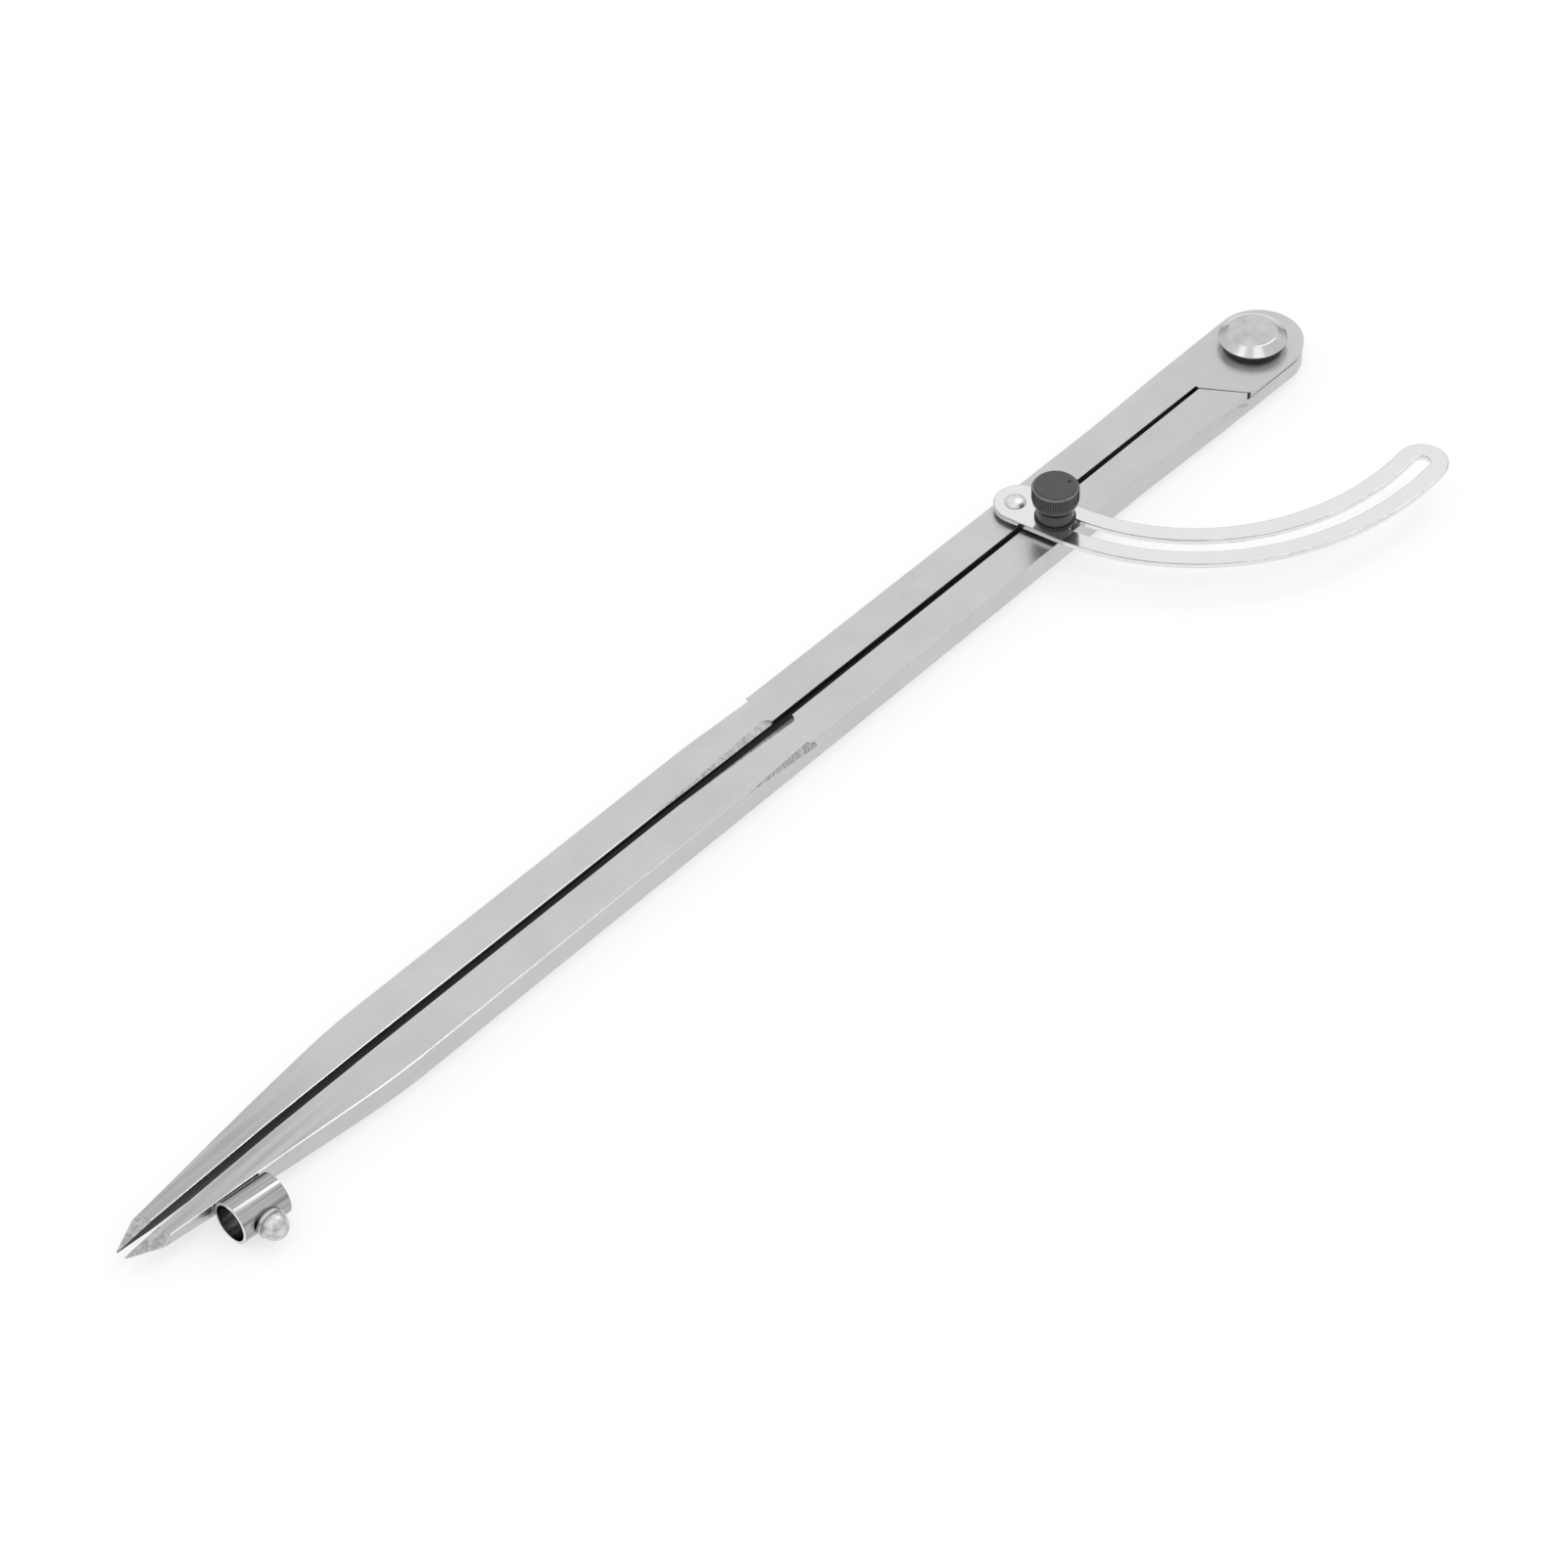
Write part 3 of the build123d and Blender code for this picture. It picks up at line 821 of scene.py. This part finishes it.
# ---- pencil holder ----------------------------------------------------------------------------
along_tube = Matrix.Translation(Vector(HOLDER_MOUTH) * MM) @ Matrix.Rotation(-HOLDER_ANGLE, 4, "Z")
tube_axis = along_tube @ Matrix.Rotation(pi / 2, 4, "Y")
tube_middle = along_tube @ Vector((SCREW_STATION * MM, 0, 0))
screw_axis = along_tube @ at(SCREW_STATION, 0) @ Matrix.Rotation(pi / 2, 4, "X")
tube = lathe("pencil_tube_rolled", [
    (HOLDER_BORE, 0, 0.1),
    (HOLDER_RADIUS, 0, 0.12),
    (HOLDER_RADIUS, HOLDER_LENGTH, 0.12),
    (HOLDER_BORE, HOLDER_LENGTH, 0.1),
], 128, tube_axis)
screw_hole = lathe("screw_hole", [
    (0, 2.5, 0),
    (SCREW_RADIUS, 2.5, 0),
    (SCREW_RADIUS, 6.0, 0),
    (0, 6.0, 0),
], 48, screw_axis)
tube = cut(tube, screw_hole)
shade(tube.data, LATHE_SHARP)


def on_tube_rim(face):
    """Whether a face of the tube lies on its ends or on their broken edges."""
    return abs(face.normal @ tube_axis.to_3x3().col[2]) > 0.4


def in_gap_shadow(face):
    """Whether a face of the tube lies outside, beside the leg, where the gap's shadow is painted dark."""
    outside = face.normal @ (face.center - tube_middle) > (HOLDER_RADIUS - 0.2) * MM
    return outside and GAP_SHADOW_EDGE * MM < (along_tube.inverted() @ face.center).y


# Painted highlight: the tube's finish brightens its ends.
mark_faces(tube.data, "painted_edge_light", on_tube_rim)
# Painted shadow: the faces beside the leg get the dark of the gap between tube and leg.
mark_faces(tube.data, "gap_painted_shadow", in_gap_shadow)
finished(tube, tube_plate, "right_leg", "holder_chrome", "pencil_holder")

collar = lathe("pencil_screw_collar_turned", [
    (SCREW_RADIUS, 4.8, 0),
    (3.25, 4.8, 0.08),
    (3.25, 5.55, 0.15),
    (SCREW_RADIUS, 5.55, 0),
], 72, screw_axis)
finished(collar, rivet_steel, "pencil_screw_collar", "rivet_steel", "pencil_screw_collar")

BALL_RADIUS = 2.85
BALL_MIDDLE = 6.15
BALL_FOOT = 5.57
BALL_STEPS = 10
ball_profile = [(0, 3.95, 0), (1.25, 3.95, 0.1), (1.25, BALL_FOOT, 0)]
for k in range(BALL_STEPS + 1):
    height = BALL_FOOT + (BALL_MIDDLE + BALL_RADIUS - BALL_FOOT) * k / BALL_STEPS
    ball_profile.append((sqrt(max(0.0, BALL_RADIUS ** 2 - (height - BALL_MIDDLE) ** 2)), height, 0))
ball_screw = lathe("pencil_screw_turned", ball_profile, 72, screw_axis)
finished(ball_screw, ball_plate, "pencil_screw", "holder_chrome", "pencil_screw")


# ---- CAD nodes that keep their shape ----------------------------------------------------------
for node, material in (("holder_braze", braze), ("clamp_stud", rivet_steel)):
    nodes[node].data.materials.clear()
    nodes[node].data.materials.append(material)


# ---- floor, light and camera ------------------------------------------------------------------
FLOOR_GLOW = 0.95                     # the floor's share of plain white in reflections
FLOOR_SEEN = 0.72                     # the part of that share that the camera sees


def floor_finish():
    """White floor that keeps a soft shadow and shows white in reflections."""
    material = bpy.data.materials.new("floor_white")
    material.use_nodes = True
    w = Wiring(material.node_tree)
    material.node_tree.nodes.remove(material.node_tree.nodes["Principled BSDF"])
    output = material.node_tree.nodes["Material Output"]
    matt = w.node("ShaderNodeBsdfDiffuse")
    matt.inputs[0].default_value = (0.95, 0.95, 0.95, 1.0)
    glow = w.node("ShaderNodeEmission")
    glow.inputs[1].default_value = 1.0
    path = w.node("ShaderNodeLightPath")
    seen = w.math("MULTIPLY", path.outputs["Is Camera Ray"], FLOOR_SEEN)
    mirrored = w.math("MAXIMUM", path.outputs["Is Glossy Ray"], path.outputs["Is Transmission Ray"])
    share = w.math("MAXIMUM", seen, mirrored)
    mixed = w.node("ShaderNodeMixShader")
    w.link(w.math("MULTIPLY", share, FLOOR_GLOW), mixed.inputs[0])
    w.link(matt.outputs[0], mixed.inputs[1])
    w.link(glow.outputs[0], mixed.inputs[2])
    w.link(mixed.outputs[0], output.inputs[0])
    return material


floor_mesh = bpy.data.meshes.new("floor")
floor_mesh.from_pydata([(-6, -6, 0), (6, -6, 0), (6, 6, 0), (-6, 6, 0)], [], [(0, 1, 2, 3)])
floor_mesh.materials.append(floor_finish())
place_object("floor", floor_mesh)

world = bpy.data.worlds.new("white_room")
world.use_nodes = True
bpy.context.scene.world = world
w = Wiring(world.node_tree)
sky = world.node_tree.nodes["Background"]
toward = w.node("ShaderNodeTexCoord")
parts = w.node("ShaderNodeSeparateXYZ")
w.link(toward.outputs["Generated"], parts.inputs[0])
tent = w.node(
    "ShaderNodeMapRange", interpolation_type="SMOOTHSTEP", in_1=0.05, in_2=0.45, in_3=0.55, in_4=1.0)
w.link(parts.outputs[2], tent.inputs[0])
path = w.node("ShaderNodeLightPath")
level = w.node("ShaderNodeMix", in_3=1.0)
w.link(path.outputs["Is Camera Ray"], level.inputs[0])
w.link(tent.outputs[0], level.inputs[2])
w.link(level.outputs[0], sky.inputs["Strength"])
sky.inputs["Color"].default_value = (1, 1, 1, 1)


def softbox(name, toward, distance, width, height, strength):
    """Area lamp in a direction from the compass, turned to face it."""
    lamp = bpy.data.lights.new(name, "AREA")
    lamp.shape = "RECTANGLE"
    lamp.size = width
    lamp.size_y = height
    lamp.energy = strength
    holder = bpy.data.objects.new(name, lamp)
    bpy.context.scene.collection.objects.link(holder)
    direction = Vector(toward).normalized()
    middle = Vector((-0.15, 0, 0))
    holder.location = middle + direction * distance
    holder.rotation_euler = direction.to_track_quat("Z", "Y").to_euler()
    return holder


softbox("overhead_strip", (0.53, 0.0, 0.85), 1.6, 0.45, 0.9, 3.0)
softbox("left_box", (-0.47, 0.13, 0.87), 1.8, 0.7, 0.7, 0.9)
softbox("right_box", (-0.04, -0.44, 0.9), 1.8, 0.7, 0.7, 0.9)

# The camera looks down on the tool from the points' side.
YAW = radians(42.12)
PITCH = radians(44.40)
ROLL = radians(-1.07)
CAMERA_PLACE = (-0.87982, -0.66018, 0.95266)
SENSOR = 36.0
FOCAL_LENGTH = 157.40162
forward = Vector((cos(YAW) * cos(PITCH), sin(YAW) * cos(PITCH), -sin(PITCH)))
right = Vector((sin(YAW), -cos(YAW), 0))
up = right.cross(forward)
side_axis = right * cos(ROLL) + up * sin(ROLL)
up_axis = up * cos(ROLL) - right * sin(ROLL)
lens = bpy.data.cameras.new("camera")
lens.sensor_width = SENSOR
lens.lens = FOCAL_LENGTH
lens.clip_end = 20
camera = bpy.data.objects.new("camera", lens)
bpy.context.scene.collection.objects.link(camera)
turn = Matrix((side_axis, up_axis, -forward)).transposed().to_4x4()
camera.matrix_world = Matrix.Translation(CAMERA_PLACE) @ turn
bpy.context.scene.camera = camera
bpy.context.scene.view_settings.view_transform = "Standard"
